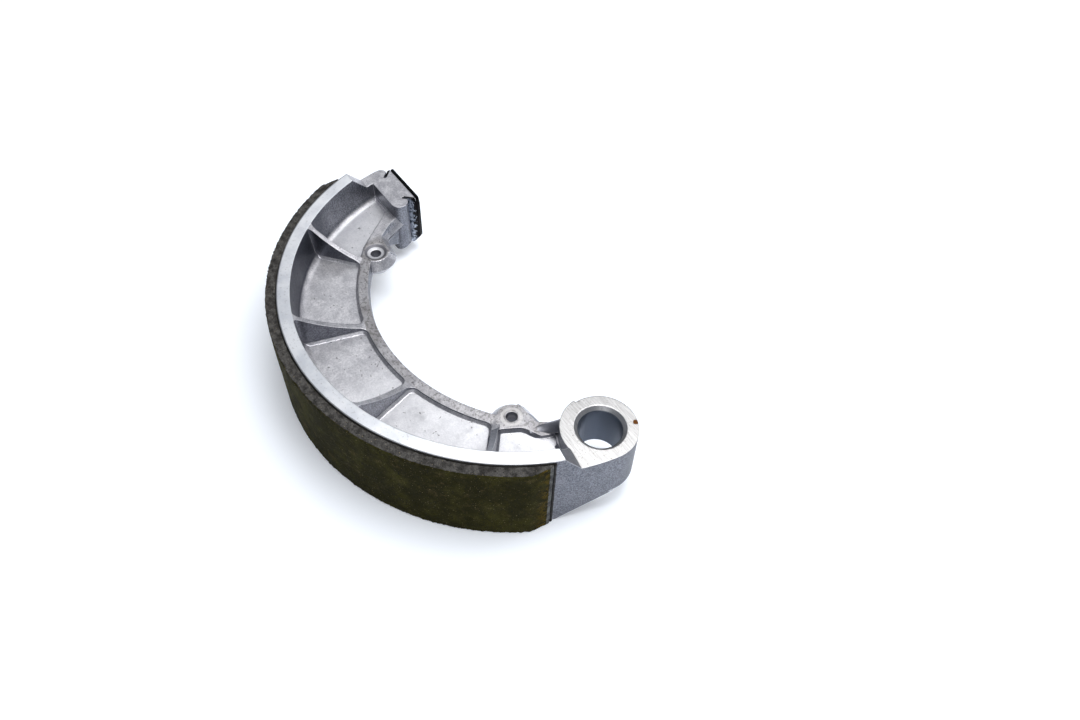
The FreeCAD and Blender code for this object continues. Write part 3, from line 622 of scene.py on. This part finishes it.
pitted = blend(tree, fibres.outputs["Pits"], grainy, (0.010, 0.010, 0.008, 1.0), share=0.75)
flecks = between(tree, noise_at(tree, place, 2100.0, 1.0, 0.5), 0.70, 0.76)
flecked = blend(tree, flecks, pitted, (0.42, 0.34, 0.20, 1.0), share=0.5)
tree.links.new(flecked, body.inputs["Base Color"])
body.inputs["Specular IOR Level"].default_value = 0.06
tree.links.new(spread(tree, fibres.outputs["Mottle"], 0.62, 0.95), body.inputs["Roughness"])
bump = add_node(tree, "ShaderNodeBump", [("Height", fibres.outputs["Height"]), ("Strength", 0.8),
                                         ("Distance", 0.00016)])
tree.links.new(bump.outputs["Normal"], body.inputs["Normal"])
lining.data.materials.append(compound)
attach(lining, "root")
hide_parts("friction_lining")

# The adhesive: a dark heat-cured film between the table and the lining. It is squeezed out along
# all four seams as an uneven black bead.
glue = bpy.data.materials.new("cured_adhesive")
glue.use_nodes = True
tree = glue.node_tree
film = tree.nodes["Principled BSDF"]
place = add_node(tree, "ShaderNodeTexCoord").outputs["Object"]
lumps = place_group(tree, grain, (("Place", place), ("Scale", 600.0), ("Pit Share", 0.30)))
glue_colour = blend(tree, lumps.outputs["Mottle"], (0.004, 0.004, 0.004, 1.0), (0.020, 0.018, 0.014, 1.0))
tree.links.new(glue_colour, film.inputs["Base Color"])
tree.links.new(spread(tree, lumps.outputs["Grain"], 0.35, 0.7), film.inputs["Roughness"])
film.inputs["Specular IOR Level"].default_value = 0.15
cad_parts["bond_film"].material_slots[0].material = glue

table_radius = 0.0859
seam_overlap, end_overlap = math.radians(0.15), math.radians(0.22)
seam_start, seam_end = lining_start - seam_overlap, lining_end + seam_overlap
seam_bead_radius, seam_bead_offset, seam_bead_lumps = 0.00030, 0.00012, 0.00030
end_bead_radius, end_bead_offset, end_bead_lumps = 0.00055, 0.00025, 0.00035
end_bead_steps = 72
squeezed_out = bpy.data.textures.new("squeezed_out", "CLOUDS")
squeezed_out.noise_scale = 0.0016
squeezed_out.noise_depth = 2
for seam, seam_height in (("upper_seam_bead", lining_high[2]), ("lower_seam_bead", lining_low[2])):
    first = drum_point(table_radius + seam_bead_offset, seam_start)
    bpy.ops.object.select_all(action="DESELECT")
    bpy.ops.mesh.primitive_circle_add(vertices=8, radius=seam_bead_radius,
                                      location=(first.x, first.y, seam_height),
                                      rotation=(math.radians(90.0), 0.0, seam_start))
    bead = bpy.context.object
    bead.name = seam
    bpy.ops.object.transform_apply(location=True, rotation=True)
    bpy.ops.object.mode_set(mode="EDIT")
    bpy.ops.mesh.select_all(action="SELECT")
    bpy.ops.mesh.edge_face_add()
    bpy.ops.mesh.spin(steps=420, angle=seam_end - seam_start, center=drum_centre, axis=(0.0, 0.0, -1.0))
    bpy.ops.mesh.select_all(action="SELECT")
    bpy.ops.mesh.remove_doubles(threshold=close_weld)
    bpy.ops.mesh.normals_make_consistent(inside=False)
    bpy.ops.object.mode_set(mode="OBJECT")
    finish_with(bead, "uneven", "DISPLACE", texture=squeezed_out, texture_coords="LOCAL",
                strength=seam_bead_lumps)
    bpy.ops.object.shade_smooth()
    bead.data.materials.append(glue)
    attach(bead, "root")

for seam, end_angle in (("cam_end_bead", seam_start - end_overlap), ("eye_end_bead", seam_end + end_overlap)):
    foot = drum_point(table_radius + end_bead_offset, end_angle)
    bpy.ops.object.select_all(action="DESELECT")
    bpy.ops.mesh.primitive_cylinder_add(vertices=10, radius=end_bead_radius, depth=lining_width,
                                        location=(foot.x, foot.y, lining_middle))
    bead = bpy.context.object
    bead.name = seam
    bpy.ops.object.transform_apply(location=True)
    bpy.ops.object.mode_set(mode="EDIT")
    for step in range(end_bead_steps):
        cut_height = lining_low[2] + lining_width * (step + 0.5) / end_bead_steps
        bpy.ops.mesh.select_all(action="SELECT")
        bpy.ops.mesh.bisect(plane_co=(0.0, 0.0, cut_height), plane_no=(0.0, 0.0, 1.0))
    bpy.ops.object.mode_set(mode="OBJECT")
    finish_with(bead, "uneven", "DISPLACE", texture=squeezed_out, texture_coords="LOCAL",
                strength=end_bead_lumps)
    bpy.ops.object.shade_smooth()
    bead.data.materials.append(glue)
    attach(bead, "root")

# The slipper: a hardened and blackened steel strip, folded over the pad's end so that its wings grip the
# slots. Its bends and sheared ends are lightened, as wear and as a painted highlight.
slipper_low, slipper_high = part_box("cam_slipper")
fold, free_edge = slipper_low[1], slipper_high[1]
tear_start, tear_full = fold * 0.62 + free_edge * 0.38, fold * 0.56 + free_edge * 0.44
top_rise, top_margin = 0.00125, 0.0002
face_shift, face_margin = 0.0006, 0.0003
clip_height, clip_length = (slipper_high[2] - slipper_low[2]) * 0.20, 0.0045
edge_rounding = 0.00016

steel = bpy.data.materials.new("blackened_steel")
steel.use_nodes = True
tree = steel.node_tree
strip = tree.nodes["Principled BSDF"]
here = add_node(tree, "ShaderNodeTexCoord")
place = here.outputs["Object"]
at = add_node(tree, "ShaderNodeSeparateXYZ", [("Vector", place)])
facing = add_node(tree, "ShaderNodeSeparateXYZ", [("Vector", here.outputs["Normal"])])
scale_skin = place_group(tree, grain, (("Place", place), ("Scale", 330.0), ("Pit Share", 0.28)))
slipper_wear_and_glint = place_group(tree, worn_and_highlit_edge, (("Radius", 0.0002),))
brush_lines = add_node(tree, "ShaderNodeMapping", [("Vector", place), ("Scale", (2600.0, 80.0, 80.0))])
brushing = between(tree, noise_at(tree, brush_lines.outputs["Vector"], 1.0, 3.0, 0.5), 0.50, 0.70)
black = blend(tree, between(tree, scale_skin.outputs["Mottle"], 0.35, 0.65),
              (0.002, 0.002, 0.003, 1.0), (0.009, 0.008, 0.009, 1.0))
black_brushed = blend(tree, brushing, black, (0.08, 0.068, 0.06, 1.0), share=0.16)
# Edges worn through the black are lightened blue-grey, as wear and as a painted highlight.
worn_through_and_glint = multiply(tree, slipper_wear_and_glint.outputs["Edge"],
                          between(tree, scale_skin.outputs["Mottle"], 0.50, 0.60))
black_worn_and_glint = blend(tree, worn_through_and_glint, black_brushed, (0.30, 0.34, 0.42, 1.0), share=0.5)
# The torn wing's ragged burrs are painted pale blue, as a painted highlight on them.
ragged = multiply(tree, calculate(tree, "SUBTRACT", noise_at(tree, place, 700.0, 4.0, 0.6), 0.5), 0.0052)
torn = between(tree, calculate(tree, "ADD", at.outputs["Y"], ragged), tear_start, tear_full)
on_wing = multiply(tree, torn, between(tree, calculate(tree, "ABSOLUTE", facing.outputs["X"]), 0.45, 0.60))
burrs_and_highlight = blend(tree, between(tree, noise_at(tree, place, 900.0, 3.0, 0.6), 0.42, 0.62),
               (0.08, 0.095, 0.12, 1.0), (0.46, 0.50, 0.58, 1.0))
tree.links.new(blend(tree, on_wing, black_worn_and_glint, burrs_and_highlight), strip.inputs["Base Color"])
strip.inputs["Metallic"].default_value = 0.9
strip.inputs["Specular IOR Level"].default_value = 0.20
tree.links.new(spread(tree, scale_skin.outputs["Mottle"], 0.25, 0.50), strip.inputs["Roughness"])
bump = add_node(tree, "ShaderNodeBump", [("Height", scale_skin.outputs["Height"]),
                                         ("Normal", slipper_wear_and_glint.outputs["Normal"]), ("Strength", 0.4),
                                         ("Distance", 0.00006)])
tree.links.new(bump.outputs["Normal"], strip.inputs["Normal"])


def move_points(piece, chosen, shift):
    """Move the points of a piece that a test picks out."""
    for vertex in piece.data.vertices:
        vertex.select = chosen(vertex.co)
    bpy.ops.object.mode_set(mode="EDIT")
    bpy.ops.transform.translate(value=shift)
    bpy.ops.object.mode_set(mode="OBJECT")


slipper = dressed_copy("cam_slipper", "folded_slipper", steel)
bpy.ops.object.mode_set(mode="EDIT")
bpy.ops.mesh.select_all(action="SELECT")
bpy.ops.mesh.remove_doubles(threshold=weld)
bpy.ops.mesh.dissolve_limited(angle_limit=math.radians(1.0))
bpy.ops.mesh.select_all(action="DESELECT")
bpy.ops.object.mode_set(mode="OBJECT")
move_points(slipper, lambda point: point.z > slipper_high[2] - top_margin, (0.0, 0.0, top_rise))
move_points(slipper, lambda point: point.y < fold + face_margin, (0.0, -face_shift, 0.0))

# Its lower corner beside the spring lug is clipped off on a slant.
low_corner = Vector((slipper_low[0], fold - face_shift, slipper_low[2]))
above_corner = low_corner + Vector((0.0, 0.0, clip_height))
along_foot = low_corner + Vector((clip_length, 0.0, 0.0))
behind_corner = Vector((slipper_low[0], free_edge, slipper_low[2]))
clip = (behind_corner - above_corner).cross(along_foot - above_corner).normalized()
if clip.dot(low_corner - above_corner) < 0:
    clip = -clip
bpy.ops.object.mode_set(mode="EDIT")
bpy.ops.mesh.select_all(action="SELECT")
bpy.ops.mesh.bisect(plane_co=above_corner, plane_no=clip, clear_outer=True, use_fill=True)
bpy.ops.object.mode_set(mode="OBJECT")
finish_with(slipper, "rolled_edges", "BEVEL", width=edge_rounding, segments=2, limit_method="ANGLE",
            angle_limit=math.radians(40.0))
bpy.ops.object.shade_smooth_by_angle(angle=math.radians(35.0))
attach(slipper, "root")
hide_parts("cam_slipper")
